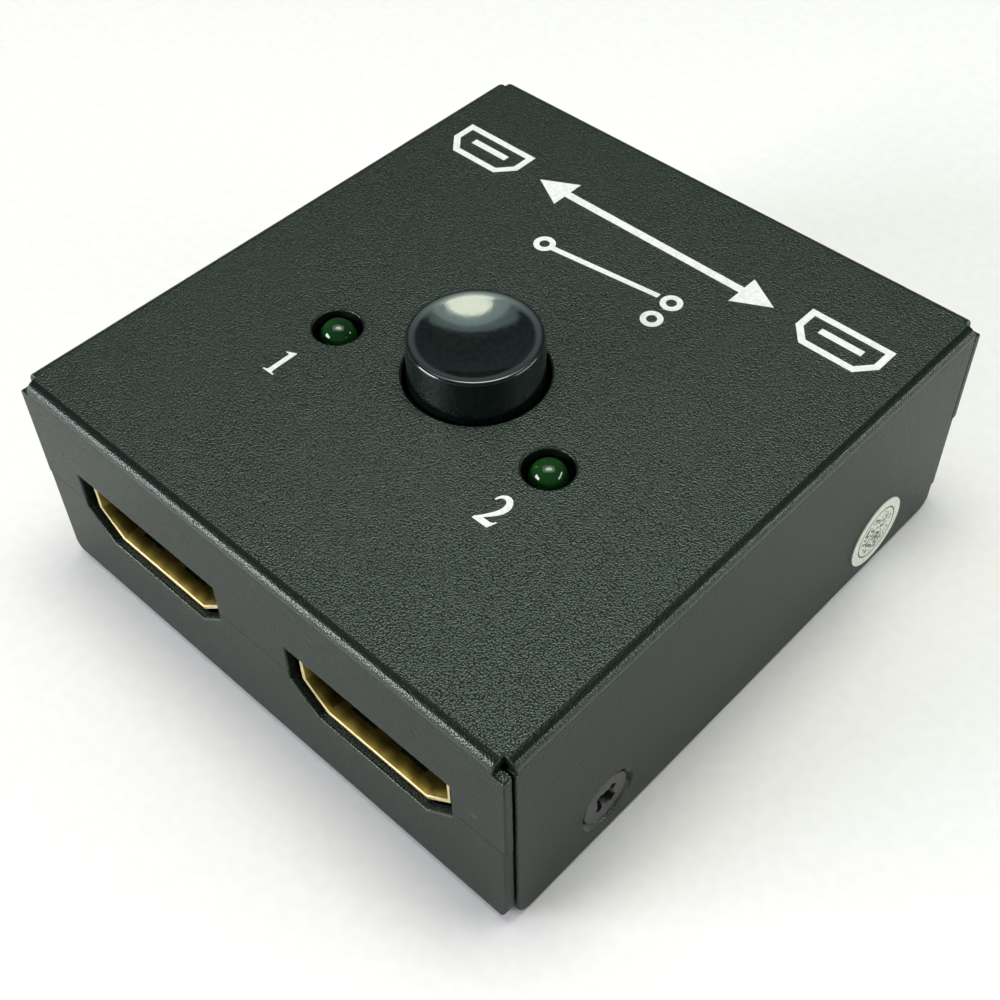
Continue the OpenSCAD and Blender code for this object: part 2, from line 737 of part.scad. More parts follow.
// Puts a part at each switch terminal, with its size grown by g in $tx and $ty
module at_terminals(g) {
    $tx = terminal_t + 2 * g;
    $ty = terminal_w + 2 * g;
    for (s = [-1, 1]) for (k = [-1:1])
        translate([s * (cavity_w + terminal_t) / 2, button_y + k * terminal_pitch, 0]) children();
}

module switch_housing() {
    wall_y = button_y - cavity_w / 2;
    color([0.04, 0.04, 0.045]) {
        difference() {
            translate([-switch_w / 2, button_y - switch_w / 2, board_top])
                cube([switch_w, switch_w, switch_h]);
            translate([-cavity_w / 2, button_y - cavity_w / 2, board_top + switch_floor])
                cube([cavity_w, cavity_w, switch_h]);
            at_terminals(0.02) translate([0, 0, board_top])
                cube([$tx, $ty, 2 * terminal_high + 0.04], center = true);
            // Groove and pivot hole of the latch pin
            translate([latch_x, wall_y, 0]) {
                translate([0, 0, board_top + switch_floor + switch_h / 2])
                    cube([latch_wire + 0.1, latch_wire * 2 + 0.1, switch_h], center = true);
                translate([0, 0, board_top + switch_floor + latch_wire / 2 + 0.1]) rotate([90, 0, 0])
                    cylinder(h = switch_wall - 0.2, d = latch_wire + 0.06);
            }
        }
        // Post inside the spring
        translate([0, button_y, board_top + switch_floor - 0.1])
            cylinder(h = 1, r = coil_d / 2 - coil_wire - 0.2);
    }
}

module switch_frame() {
    leg_h = frame_top - pin_low;
    color([0.68, 0.68, 0.7]) translate([0, button_y, 0]) {
        difference() {
            translate([0, 0, frame_low + frame_t / 2])
                cube([2 * frame_leg_x + frame_t, switch_w, frame_t], center = true);
            translate([0, 0, frame_low]) cube([stem_w + 0.3, stem_w + 0.3, 3 * frame_t], center = true);
        }
        for (s = [-1, 1]) {
            translate([s * frame_leg_x, 0, frame_top - leg_h / 2])
                cube([frame_t, leg_w, leg_h], center = true);
            translate([s * frame_leg_x, 0, (frame_top + board_top) / 2 + 0.5])
                cube([frame_t, switch_w * 0.6, frame_top - board_top - 1], center = true);
        }
    }
}

// Return spring as one wound wire
module switch_spring() {
    sides = 8;
    steps = 24 * coil_turns;
    mid_r = (coil_d - coil_wire) / 2;
    z0 = coil_low + coil_wire / 2;
    z1 = coil_top - coil_wire / 2;
    slope = atan((z1 - z0) / (coil_turns * 2 * PI * mid_r));
    ring = function (i)
        let (a = 360 * coil_turns * i / steps, z = z0 + (z1 - z0) * i / steps)
        [for (k = [0:sides - 1])
            let (b = 360 * k / sides, q = coil_wire / 2 * cos(b), p = coil_wire / 2 * sin(b))
            [
                (mid_r + q) * cos(a) + p * sin(slope) * sin(a),
                (mid_r + q) * sin(a) - p * sin(slope) * cos(a),
                z + p * cos(slope),
            ]];
    echo(least_gap_between_turns = (z1 - z0) / coil_turns - coil_wire);
    color([0.75, 0.75, 0.77]) translate([0, button_y, 0]) polyhedron(
        points = [for (i = [0:steps]) each ring(i)],
        faces = concat(
            [[for (k = [0:sides - 1]) k], [for (k = [sides - 1:-1:0]) steps * sides + k]],
            [for (i = [0:steps - 1]) for (k = [0:sides - 1])
                let (n = (k + 1) % sides)
                [i * sides + n, i * sides + k, (i + 1) * sides + k, (i + 1) * sides + n]]
        )
    );
}

// Bent wire that hangs in the wall groove and reaches into the plunger's latch pocket
module switch_latch_pin() {
    r = latch_wire / 2;
    low = board_top + switch_floor + r + 0.1;
    wire_y = -cavity_w / 2 - r + 0.02;
    color([0.75, 0.75, 0.77]) translate([latch_x, button_y + wire_y, 0]) {
        translate([0, 0, low]) cylinder(h = latch_z - low, r = r);
        translate([0, 0, low]) sphere(r);
        translate([0, 0, latch_z]) sphere(r);
        translate([0, 0, latch_z]) rotate([-90, 0, 0]) cylinder(h = r + latch_tip, r = r);
        translate([0, 0, low]) rotate([90, 0, 0]) cylinder(h = switch_wall - r - 0.3, r = r);
    }
}

module switch_terminals() {
    h = board_top + terminal_high - pin_low;
    color([0.75, 0.72, 0.66]) at_terminals(0) translate([0, 0, pin_low + h / 2])
        cube([$tx, $ty, h], center = true);
}

// The two leads of a lamp: the post and the anvil with its cup, grown by g
module lamp_lead_pair(g = 0) {
    w = lead_w + 2 * g;
    z0 = lamp_low + 0.3;
    post_x = 0.45;
    post_w = 0.35;
    anvil_x = 0.15;
    anvil_w = 0.95;
    for (s = [-1, 1]) translate([s * lead_pitch / 2 - w / 2, -w / 2, pin_low])
        cube([w, w, z0 + 0.3 - pin_low]);
    // Post
    translate([post_x - g, -w / 2, z0 - g]) cube([lead_pitch / 2 - post_x + 2 * g, w, w]);
    translate([post_x - g, -w / 2, z0]) cube([post_w + 2 * g, w, post_h + g]);
    // Anvil
    translate([-lead_pitch / 2 - g, -w / 2, z0 - g]) cube([lead_pitch / 2 + anvil_x + 2 * g, w, w]);
    translate([anvil_x - anvil_w - g, -w / 2, z0]) cube([anvil_w + 2 * g, w, anvil_h + g]);
}

module lamp_lens(s) {
    r = lamp_d / 2;
    color([0.05, 0.35, 0.12]) translate([lamp_at(s), lamp_y, 0]) difference() {
        union() {
            translate([0, 0, lamp_low]) cylinder(h = lamp_flange_h, d = lamp_flange_d);
            translate([0, 0, lamp_low]) cylinder(h = lamp_len - r, r = r);
            translate([0, 0, lamp_top - r]) sphere(r);
        }
        // Flat that marks one lead
        translate([-lamp_flange_d, r, lamp_low - over])
            cube([2 * lamp_flange_d, lamp_flange_d, lamp_flange_h + 2 * over]);
        lamp_lead_pair(0.01);
    }
}

module lamp_leads(s) {
    color([0.72, 0.72, 0.74]) translate([lamp_at(s), lamp_y, 0]) lamp_lead_pair();
}

module lamp_1_lens() { lamp_lens(-1); }
module lamp_1_leads() { lamp_leads(-1); }
module lamp_2_lens() { lamp_lens(1); }
module lamp_2_leads() { lamp_leads(1); }

module switching_chip() {
    color([0.05, 0.05, 0.055]) translate([0, chip_y, board_top + 0.1]) difference() {
        translate([-chip_w / 2, -chip_w / 2, 0]) cube([chip_w, chip_w, chip_h]);
        // Dimple that marks the first lead
        translate([-chip_w / 2 + 0.9, chip_w / 2 - 0.9, chip_h - 0.08]) cylinder(h = 1, r = 0.35);
    }
}

module switching_chip_leads() {
    t = 0.13;
    mid = 0.1 + chip_h / 2;
    knee = chip_lead * 0.42;
    side = [
        [0, mid], [knee, mid], [knee, t], [chip_lead, t], [chip_lead, 0],
        [knee - t, 0], [knee - t, mid - t], [0, mid - t],
    ];
    color([0.72, 0.72, 0.74]) translate([0, chip_y, board_top]) for (q = [0:90:270]) rotate([0, 0, q])
        for (k = [0:11]) translate([chip_w / 2, (k - 5.5) * chip_pitch + 0.1, 0])
            rotate([90, 0, 0]) linear_extrude(0.2) polygon(side);
}

// Small chip part with raised end caps, standing on the board
module smd_part() {
    cap = smd_len * 0.2;
    translate([-smd_w / 2 + 0.03, -smd_len / 2, 0.03]) cube([smd_w - 0.06, smd_len, smd_h - 0.06]);
    for (s = [-1, 1]) translate([-smd_w / 2, s * (smd_len - cap) / 2 - cap / 2, 0])
        cube([smd_w, cap, smd_h]);
}

module chip_resistors() {
    color([0.1, 0.1, 0.11]) for (s = [-1, 1]) for (x = SMD_X)
        translate([s * input_x + x, smd_y, board_top]) smd_part();
}

module chip_capacitors() {
    color([0.62, 0.5, 0.36]) for (s = [-1, 1]) for (x = CAP_X)
        translate([s * x, chip_y, board_top]) smd_part();
}

module supply_regulator() {
    reach = regulator_d / 2 + regulator_lead;
    foot_w = regulator_w * 0.14;
    foot_t = regulator_h * 0.15;
    color([0.06, 0.06, 0.065]) translate([-standoff_x, standoff_front + regulator_back, board_top]) {
        translate([-regulator_w / 2, -regulator_d / 2, foot_t / 2])
            cube([regulator_w, regulator_d, regulator_h]);
        for (p = [[-1, -1], [1, -1], [0, 1]])
            translate([p.x * regulator_w / 3 - foot_w / 2, p.y < 0 ? -reach : 0, 0])
                cube([foot_w, reach, foot_t]);
    }
}

top_cover();
bottom_tray();
cover_screws();
seal_sticker();
circuit_board();
board_standoffs();
board_screws();
input_socket_1_shell();
input_socket_1_insulator();
input_socket_1_contacts();
input_socket_2_shell();
input_socket_2_insulator();
input_socket_2_contacts();
output_socket_shell();
output_socket_insulator();
output_socket_contacts();
button_cap();
switch_plunger();
switch_wipers();
switch_housing();
switch_frame();
switch_spring();
switch_latch_pin();
switch_terminals();
lamp_1_lens();
lamp_1_leads();
lamp_2_lens();
lamp_2_leads();
switching_chip();
switching_chip_leads();
chip_resistors();
chip_capacitors();
supply_regulator();
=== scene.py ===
"""Two-way video switch box: finishes, print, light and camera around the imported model.

Lengths are in metres. X runs across the input end, Y from the input end to the
output end, Z up, and the origin is the middle of the underside of the case.
"""
import json
import math

import bpy
from mathutils import Matrix, Vector


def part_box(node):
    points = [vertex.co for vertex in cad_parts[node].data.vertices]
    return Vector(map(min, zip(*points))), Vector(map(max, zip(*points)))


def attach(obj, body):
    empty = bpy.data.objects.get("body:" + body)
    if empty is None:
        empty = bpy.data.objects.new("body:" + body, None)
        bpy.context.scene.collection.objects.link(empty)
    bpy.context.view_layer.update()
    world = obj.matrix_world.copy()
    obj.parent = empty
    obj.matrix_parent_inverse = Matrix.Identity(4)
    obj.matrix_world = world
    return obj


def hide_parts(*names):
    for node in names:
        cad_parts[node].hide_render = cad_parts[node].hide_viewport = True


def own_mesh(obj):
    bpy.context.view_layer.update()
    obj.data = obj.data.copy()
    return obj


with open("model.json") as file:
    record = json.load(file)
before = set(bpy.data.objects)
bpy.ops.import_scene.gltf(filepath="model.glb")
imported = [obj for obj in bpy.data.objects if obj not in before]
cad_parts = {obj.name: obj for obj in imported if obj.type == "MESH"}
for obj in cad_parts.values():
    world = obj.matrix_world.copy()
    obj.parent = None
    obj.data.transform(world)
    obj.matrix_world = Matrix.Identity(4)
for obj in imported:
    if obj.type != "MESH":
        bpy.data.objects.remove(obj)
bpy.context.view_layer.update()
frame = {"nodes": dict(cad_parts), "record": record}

MM = 0.001
BODY_OF = {
    node: body
    for body, nodes in frame["record"]["behaviour"]["bodies"].items()
    for node in nodes
}
SLOT_OF = {row["node"]: row["material_slot"] for row in frame["record"]["subparts"]}

# Places and sizes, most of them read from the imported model
COVER_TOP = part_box("top_cover")[1].z
BUTTON_LOW, BUTTON_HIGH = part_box("button_cap")
BUTTON_TAPER = 0.2 * MM
LAMPS = ("lamp_1_lens", "lamp_2_lens")
STICKER_LOW, STICKER_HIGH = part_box("seal_sticker")


# Modelling steps

MERGE_GAP = 0.001 * MM
FLAT_ANGLE = math.radians(0.2)
SHARP_ANGLE = math.radians(32)


def deselect_all():
    bpy.ops.object.select_all(action="DESELECT")


def activate(piece):
    deselect_all()
    piece.select_set(True)
    bpy.context.view_layer.objects.active = piece


def edit(piece):
    activate(piece)
    bpy.ops.object.mode_set(mode="EDIT")
    bpy.ops.mesh.select_all(action="SELECT")


def leave_edit():
    bpy.ops.object.mode_set(mode="OBJECT")


def finish_with(piece, kind, **settings):
    """Adds one modifier with its settings and applies it."""
    activate(piece)
    bpy.ops.object.modifier_add(type=kind)
    modifier = piece.modifiers[-1]
    for key, value in settings.items():
        setattr(modifier, key, value)
    bpy.ops.object.modifier_apply(modifier=modifier.name)


def settle(piece, angle=35):
    """Puts the place into the mesh, shades it smooth up to an angle and keeps wide faces flat."""
    activate(piece)
    bpy.ops.object.transform_apply(location=True, rotation=True, scale=True)
    bpy.ops.object.shade_smooth_by_angle(angle=math.radians(angle))
    finish_with(piece, "WEIGHTED_NORMAL", mode="FACE_AREA", weight=100, keep_sharp=True)


def stand_for(piece, node, finish):
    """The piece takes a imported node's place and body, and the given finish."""
    piece.data.materials.clear()
    piece.data.materials.append(finish)
    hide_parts(node)
    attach(piece, BODY_OF[node])


def draw_line(name, points):
    """Pulls one vertex from point to point and leaves the drawn line selected."""
    deselect_all()
    bpy.ops.mesh.primitive_plane_add(size=MM, location=points[0])
    piece = bpy.context.object
    piece.name = piece.data.name = name
    bpy.context.tool_settings.mesh_select_mode = (True, False, False)
    bpy.ops.object.mode_set(mode="EDIT")
    bpy.ops.mesh.merge(type="CENTER")
    for here, there in zip(points, points[1:]):
        step = Vector(there) - Vector(here)
        bpy.ops.mesh.extrude_vertices_move(TRANSFORM_OT_translate={"value": step})
    bpy.ops.mesh.select_all(action="SELECT")
    return piece


def turn_piece(name, axis, outline, steps=128):
    """Spins an outline of (radius, height) pairs about an upright axis."""
    piece = draw_line(name, [(axis.x + r, axis.y, z) for r, z in outline])
    bpy.ops.mesh.spin(steps=steps, angle=math.tau, center=(axis.x, axis.y, 0), axis=(0, 0, 1))
    bpy.ops.mesh.select_all(action="SELECT")
    bpy.ops.mesh.remove_doubles(threshold=MERGE_GAP / 2)
    bpy.ops.mesh.normals_make_consistent(inside=False)
    leave_edit()
    return piece


def arc(middle, radius, start, end, steps):
    """Points (radius, height) along part of a circle, angles in degrees."""
    turns = [math.radians(start + (end - start) * k / steps) for k in range(steps + 1)]
    return [(middle[0] + radius * math.cos(t), middle[1] + radius * math.sin(t)) for t in turns]


def eased_copy(node, name, edge, chosen, segments=3):
    """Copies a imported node, joins its triangles into faces and rounds the chosen sharp edges."""
    piece = bpy.data.objects.new(name, frame["nodes"][node].data.copy())
    bpy.context.scene.collection.objects.link(piece)
    bpy.context.tool_settings.mesh_select_mode = (False, True, False)
    edit(piece)
    bpy.ops.mesh.remove_doubles(threshold=MERGE_GAP)
    bpy.ops.mesh.dissolve_limited(angle_limit=FLAT_ANGLE)
    bpy.ops.mesh.select_all(action="DESELECT")
    bpy.ops.mesh.edges_select_sharp(sharpness=SHARP_ANGLE)
    leave_edit()
    points, picked = piece.data.vertices, []
    for line in piece.data.edges:
        if line.select and chosen(*(points[k].co / MM for k in line.vertices)):
            picked.append(line.index)
    edit(piece)
    bpy.ops.mesh.select_all(action="DESELECT")
    leave_edit()
    for index in picked:
        piece.data.edges[index].select = True
    bpy.ops.object.mode_set(mode="EDIT")
    bpy.ops.mesh.bevel(offset=edge, offset_type="OFFSET", segments=segments, affect="EDGES")
    leave_edit()
    settle(piece)
    return piece


# Shader effects that several finishes share

def effect(name, inputs, outputs):
    tree = bpy.data.node_groups.new(name, "ShaderNodeTree")
    for label, kind in inputs:
        tree.interface.new_socket(label, in_out="INPUT", socket_type="NodeSocket" + kind)
    for label, kind in outputs:
        tree.interface.new_socket(label, in_out="OUTPUT", socket_type="NodeSocket" + kind)
    return tree, tree.nodes.new("NodeGroupInput"), tree.nodes.new("NodeGroupOutput")


def add(tree, kind, values=None, **settings):
    """Adds a node, with its settings and the values of its sockets."""
    made = tree.nodes.new("ShaderNode" + kind)
    for key, value in settings.items():
        setattr(made, key, value)
    for key, value in (values or {}).items():
        made.inputs[key].default_value = value
    return made


def spread(tree, source, low, high):
    """Stretches a texture's value between low and high to the range 0 to 1."""
    made = add(tree, "MapRange", {1: low, 2: high})
    tree.links.new(source, made.inputs[0])
    return made.outputs[0]


def make_grain_effect():
    """Fine grain: two tones, a gloss range and a height, by the number of grains in a metre."""
    tree, given, out = effect(
        "fine_grain",
        [("Grains", "Float"), ("Low", "Float"), ("High", "Float"),
         ("Dark", "Color"), ("Light", "Color"), ("Gloss", "Float"), ("Matt", "Float")],
        [("Color", "Color"), ("Roughness", "Float"), ("Height", "Float")],
    )
    links = tree.links
    place = add(tree, "TexCoord")
    noise = add(tree, "TexNoise", {"Detail": 0.0})
    links.new(place.outputs["Object"], noise.inputs["Vector"])
    links.new(given.outputs["Grains"], noise.inputs["Scale"])
    stretched = add(tree, "MapRange")
    links.new(noise.outputs[0], stretched.inputs[0])
    links.new(given.outputs["Low"], stretched.inputs[1])
    links.new(given.outputs["High"], stretched.inputs[2])
    mask = stretched.outputs[0]
    tone = add(tree, "Mix", data_type="RGBA")
    links.new(mask, tone.inputs[0])
    links.new(given.outputs["Dark"], tone.inputs[6])
    links.new(given.outputs["Light"], tone.inputs[7])
    gloss = add(tree, "MapRange")
    links.new(mask, gloss.inputs[0])
    links.new(given.outputs["Gloss"], gloss.inputs[3])
    links.new(given.outputs["Matt"], gloss.inputs[4])
    links.new(tone.outputs[2], out.inputs["Color"])
    links.new(gloss.outputs[0], out.inputs["Roughness"])
    links.new(mask, out.inputs["Height"])
    return tree


def make_bump_effect():
    """Close rounded bumps, by the number of bumps in a metre."""
    tree, given, out = effect("close_bumps", [("Bumps", "Float")], [("Height", "Float")])
    links = tree.links
    place = add(tree, "TexCoord")
    cells = add(tree, "TexVoronoi")
    links.new(place.outputs["Object"], cells.inputs["Vector"])
    links.new(given.outputs["Bumps"], cells.inputs["Scale"])
    dome = add(tree, "Math", operation="MULTIPLY")
    links.new(cells.outputs["Distance"], dome.inputs[0])
    links.new(cells.outputs["Distance"], dome.inputs[1])
    height = add(tree, "Math", operation="SUBTRACT")
    height.inputs[0].default_value = 1.0
    links.new(dome.outputs[0], height.inputs[1])
    links.new(height.outputs[0], out.inputs["Height"])
    return tree


def make_speck_effect():
    """Sparse specks of dust: lays a speck colour over a ground colour."""
    tree, given, out = effect(
        "dust_specks",
        [("Specks", "Float"), ("Ground", "Color"), ("Speck", "Color")],
        [("Color", "Color")],
    )
    links = tree.links
    place = add(tree, "TexCoord")
    cells = add(tree, "TexVoronoi", feature="F1")
    links.new(place.outputs["Object"], cells.inputs["Vector"])
    links.new(given.outputs["Specks"], cells.inputs["Scale"])
    near = spread(tree, cells.outputs["Distance"], 0.075, 0.05)
    pick = add(tree, "SeparateColor")
    links.new(cells.outputs["Color"], pick.inputs[0])
    chosen = spread(tree, pick.outputs[0], 0.86, 0.9)
    both = add(tree, "Math", operation="MULTIPLY")
    links.new(near, both.inputs[0])
    links.new(chosen, both.inputs[1])
    tone = add(tree, "Mix", data_type="RGBA")
    links.new(both.outputs[0], tone.inputs[0])
    links.new(given.outputs["Ground"], tone.inputs[6])
    links.new(given.outputs["Speck"], tone.inputs[7])
    links.new(tone.outputs[2], out.inputs["Color"])
    return tree


def make_drawn_effect():
    """Fine lines left in drawn or rolled metal, as a gloss range and a height."""
    tree, given, out = effect(
        "drawn_lines",
        [("Lines", "Float"), ("Gloss", "Float"), ("Matt", "Float")],
        [("Roughness", "Float"), ("Height", "Float")],
    )
    links = tree.links
    place = add(tree, "TexCoord")
    stretch = add(tree, "Mapping", {"Scale": (1.0, 0.06, 1.0)})
    noise = add(tree, "TexNoise", {"Detail": 2.0})
    links.new(place.outputs["Object"], stretch.inputs["Vector"])
    links.new(stretch.outputs[0], noise.inputs["Vector"])
    links.new(given.outputs["Lines"], noise.inputs["Scale"])
    mask = spread(tree, noise.outputs[0], 0.3, 0.7)
    gloss = add(tree, "MapRange")
    links.new(mask, gloss.inputs[0])
    links.new(given.outputs["Gloss"], gloss.inputs[3])
    links.new(given.outputs["Matt"], gloss.inputs[4])
    links.new(gloss.outputs[0], out.inputs["Roughness"])
    links.new(mask, out.inputs["Height"])
    return tree


GRAIN = make_grain_effect()
BUMPS = make_bump_effect()
SPECKS = make_speck_effect()
DRAWN = make_drawn_effect()


# Finishes

def rgba(red, green, blue):
    return (red, green, blue, 1.0)


def new_finish(name, **sockets):
    """Starts a material with plain values on its shader."""
    material = bpy.data.materials.new(name)
    material.use_nodes = True
    shader = material.node_tree.nodes["Principled BSDF"]
    for key, value in sockets.items():
        shader.inputs[key.replace("_", " ")].default_value = value
    return material, material.node_tree, shader


def use_effect(tree, group, **values):
    made = add(tree, "Group")
    made.node_tree = group
    for key, value in values.items():
        made.inputs[key].default_value = value
    return made


def blend(tree, mask, first, second):
    """Mixes a socket with a plain colour or number by a mask."""
    kind = "RGBA" if isinstance(second, tuple) else "FLOAT"
    made = add(tree, "Mix", data_type=kind)
    low, high, out = (6, 7, 2) if kind == "RGBA" else (2, 3, 0)
    tree.links.new(mask, made.inputs[0])
    tree.links.new(first, made.inputs[low])
    made.inputs[high].default_value = second
    return made.outputs[out]


def reach_from(tree, middle, keep):
    """Distance of the surface from a middle point, along the kept axes only."""
    place = add(tree, "TexCoord")
    shift = [-m * k for m, k in zip(middle, keep)]
    centred = add(tree, "Mapping", {"Location": shift, "Scale": keep})
    tree.links.new(place.outputs["Object"], centred.inputs["Vector"])
    reach = add(tree, "VectorMath", operation="LENGTH")
    tree.links.new(centred.outputs[0], reach.inputs[0])
    return reach.outputs["Value"]


def band(tree, reach, inner, outer, soft):
    """1 between two distances, fading to 0 over the soft width."""
    made = add(tree, "Math", operation="MULTIPLY")
    tree.links.new(spread(tree, reach, inner - soft, inner + soft), made.inputs[0])
    tree.links.new(spread(tree, reach, outer + soft, outer - soft), made.inputs[1])
    return made.outputs[0]


def press_relief(tree, shader, height, depth):
    """Turns a height into relief on the shader."""
    bump = add(tree, "Bump", {"Strength": 1.0, "Distance": depth})
    tree.links.new(height, bump.inputs["Height"])
    tree.links.new(bump.outputs[0], shader.inputs["Normal"])


def grained_finish(name, dark, light, grains, gloss, matt, depth, reach=(0.32, 0.68), **sockets):
    """A finish whose tone, gloss and relief follow the fine grain; a short reach makes it crisp."""
    material, tree, shader = new_finish(name, **sockets)
    grain = use_effect(
        tree, GRAIN, Grains=grains, Low=reach[0], High=reach[1], Dark=rgba(*dark), Light=rgba(*light),
        Gloss=gloss, Matt=matt
    )
    tree.links.new(grain.outputs["Color"], shader.inputs["Base Color"])
    tree.links.new(grain.outputs["Roughness"], shader.inputs["Roughness"])
    press_relief(tree, shader, grain.outputs["Height"], depth)
    return material, tree, shader, grain


COAT_GRAINS = 8200.0
COAT_BUMPS = 6200.0
COAT_SPECKS = 260.0
COAT_TINT = rgba(0.8, 1.0, 0.86)
SPECK_TONE = rgba(0.06, 0.068, 0.06)


def coat_finish(name, dark, light, gloss, matt, depth, **sockets):
    """Black-green powder coat with fine bumps and a few pale specks."""
    material, tree, shader, grain = grained_finish(
        name, dark, light, COAT_GRAINS, gloss, matt, 0.002 * MM, (0.3, 0.7),
        Specular_Tint=COAT_TINT, **sockets
    )
    bumps = use_effect(tree, BUMPS, Bumps=COAT_BUMPS)
    press_relief(tree, shader, bumps.outputs["Height"], depth)
    specks = use_effect(tree, SPECKS, Specks=COAT_SPECKS, Speck=SPECK_TONE)
    tree.links.new(grain.outputs["Color"], specks.inputs["Ground"])
    tree.links.new(specks.outputs["Color"], shader.inputs["Base Color"])
    return material


def powder_coat(name="powder_coat", depth=0.061 * MM):
    """The coat on flat faces."""
    return coat_finish(
        name, (0.0105, 0.014, 0.012), (0.027, 0.0355, 0.0305), 0.25, 0.21, depth, IOR=1.53
    )


def bend_coat():
    """The same coat drawn thin over the bends."""
    return powder_coat("bend_coat", 0.032 * MM)


def edge_painted_shade():
    """Thin coat where a flat face starts to bend, painted dark as painted shade for the dark band
    along the bend.
    """
    # painted shade: a darker tone than the flat faces' coat, for the dark band along the bend
    return coat_finish(
        "edge_painted_shade", (0.005, 0.007, 0.006), (0.011, 0.015, 0.013), 0.3, 0.25, 0.03 * MM, IOR=1.22
    )


def wall_coat_painted_shade():
    """The same coat where it flowed flatter, on the upright walls, its tone painted darker and
    greener as painted shade.
    """
    # painted shade: the walls' tone is darker and greener than the flat faces' coat
    return coat_finish(
        "wall_coat_painted_shade", (0.0045, 0.0088, 0.0055), (0.0112, 0.0205, 0.013), 0.36, 0.28, 0.036 * MM,
        IOR=1.25,
    )


def screw_black():
    return grained_finish(
        "screw_black", (0.012, 0.0125, 0.012), (0.026, 0.027, 0.025), 5200.0,
        0.28, 0.42, 0.008 * MM,
    )[0]


def button_gloss():
    """Polished black plastic, dulled on the narrow band inside the rim, which is painted pale
    blue-grey as a painted reflection of the overhead panel.
    """
    material, tree, shader, grain = grained_finish(
        "button_gloss", (0.002, 0.0045, 0.0042), (0.004, 0.0085, 0.008), 2200.0,
        0.11, 0.15, 0.0008 * MM, IOR=1.78, Specular_Tint=rgba(0.86, 1.0, 0.95),
    )
    reach = reach_from(tree, (BUTTON_LOW + BUTTON_HIGH) / 2, (1.0, 1.0, 0.0))
    rim = (BUTTON_HIGH.x - BUTTON_LOW.x) / 2 - BUTTON_TAPER
    ring = band(tree, reach, rim - 0.8 * MM, rim - 0.32 * MM, 0.12 * MM)
    # painted reflection: the band's pale blue-grey tone stands in for the overhead panel's reflection
    tone = blend(tree, ring, grain.outputs["Color"], rgba(0.026, 0.036, 0.04))
    gloss = blend(tree, ring, grain.outputs["Roughness"], 0.36)
    tree.links.new(tone, shader.inputs["Base Color"])
    tree.links.new(gloss, shader.inputs["Roughness"])
    return material


def white_ink():
    return grained_finish(
        "white_ink", (0.75, 0.77, 0.77), (0.86, 0.88, 0.88), 3600.0, 0.5, 0.68, 0.012 * MM
    )[0]


def sticker_paper():
    """Off-white paper with a printed ring and close flecks in it."""
    material, tree, shader, grain = grained_finish(
        "sticker_paper", (0.74, 0.77, 0.67), (0.88, 0.9, 0.81), 2600.0, 0.45, 0.6, 0.004 * MM
    )
    reach = reach_from(tree, (STICKER_LOW + STICKER_HIGH) / 2, (0.0, 1.0, 1.0))
    ring = band(tree, reach, 2.42 * MM, 2.58 * MM, 0.03 * MM)
    flecks = use_effect(tree, GRAIN, Grains=3500.0, Low=0.5, High=0.6)
    inside = add(tree, "Math", operation="MULTIPLY")
    tree.links.new(flecks.outputs["Height"], inside.inputs[0])
    tree.links.new(spread(tree, reach, 2.15 * MM, 2.05 * MM), inside.inputs[1])
    inked = add(tree, "Math", operation="MAXIMUM")
    tree.links.new(ring, inked.inputs[0])
    tree.links.new(inside.outputs[0], inked.inputs[1])
    tone = blend(tree, inked.outputs[0], grain.outputs["Color"], rgba(0.1, 0.12, 0.095))
    tree.links.new(tone, shader.inputs["Base Color"])
    return material


def metal_finish(name, dark, light, grains, lines, gloss, matt, **sockets):
    """Metal with a mottled tone and fine drawn lines."""
    material, tree, shader, grain = grained_finish(
        name, dark, light, grains, gloss, matt, 0.002 * MM, Metallic=1.0, **sockets
    )
    drawn = use_effect(tree, DRAWN, Lines=lines, Gloss=gloss, Matt=matt)
    tree.links.new(drawn.outputs["Roughness"], shader.inputs["Roughness"])
    press_relief(tree, shader, drawn.outputs["Height"], 0.003 * MM)
    return material


def shell_gold():
    """Dull gold plating, painted bright along the lip as a painted highlight."""
    material = metal_finish(
        "shell_gold", (0.1, 0.076, 0.014), (0.18, 0.138, 0.029), 900.0, 5000.0, 0.42, 0.58
    )
    tree = material.node_tree
    shader = tree.nodes["Principled BSDF"]
    reach = reach_from(tree, (0.0, 0.0, 0.0), (0.0, 1.0, 0.0))
    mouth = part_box("output_socket_shell")[1].y
    lip = spread(tree, reach, mouth - 0.1 * MM, mouth - 0.04 * MM)
    plating = shader.inputs["Base Color"].links[0].from_socket
    # painted highlight: a bright gold tone along the lip
    tone = blend(tree, lip, plating, rgba(0.78, 0.67, 0.38))
    tree.links.new(tone, shader.inputs["Base Color"])
    return material


def contact_gold():
    return metal_finish(
        "contact_gold", (0.62, 0.42, 0.11), (0.78, 0.56, 0.18), 900.0, 6000.0, 0.16, 0.3
    )


def bright_steel():
    return metal_finish(
        "bright_steel", (0.46, 0.46, 0.47), (0.62, 0.62, 0.63), 600.0, 4000.0, 0.2, 0.36
    )


def tinned_metal():
    return metal_finish(
        "tinned_metal", (0.5, 0.5, 0.49), (0.64, 0.64, 0.63), 1500.0, 2600.0, 0.26, 0.44
    )


def wiper_bronze():
    return metal_finish(
        "wiper_bronze", (0.5, 0.3, 0.13), (0.64, 0.42, 0.2), 900.0, 5000.0, 0.2, 0.34
    )


def socket_plastic():
    return grained_finish(
        "socket_plastic", (0.008, 0.008, 0.008), (0.018, 0.018, 0.018), 3000.0, 0.42, 0.56, 0.006 * MM
    )[0]


def switch_plastic():
    return grained_finish(
        "switch_plastic", (0.012, 0.012, 0.0125), (0.026, 0.026, 0.027), 2400.0, 0.4, 0.55, 0.008 * MM
    )[0]


def plunger_white():
    return grained_finish(
        "plunger_white", (0.6, 0.6, 0.58), (0.74, 0.74, 0.72), 1600.0, 0.35, 0.5, 0.006 * MM
    )[0]


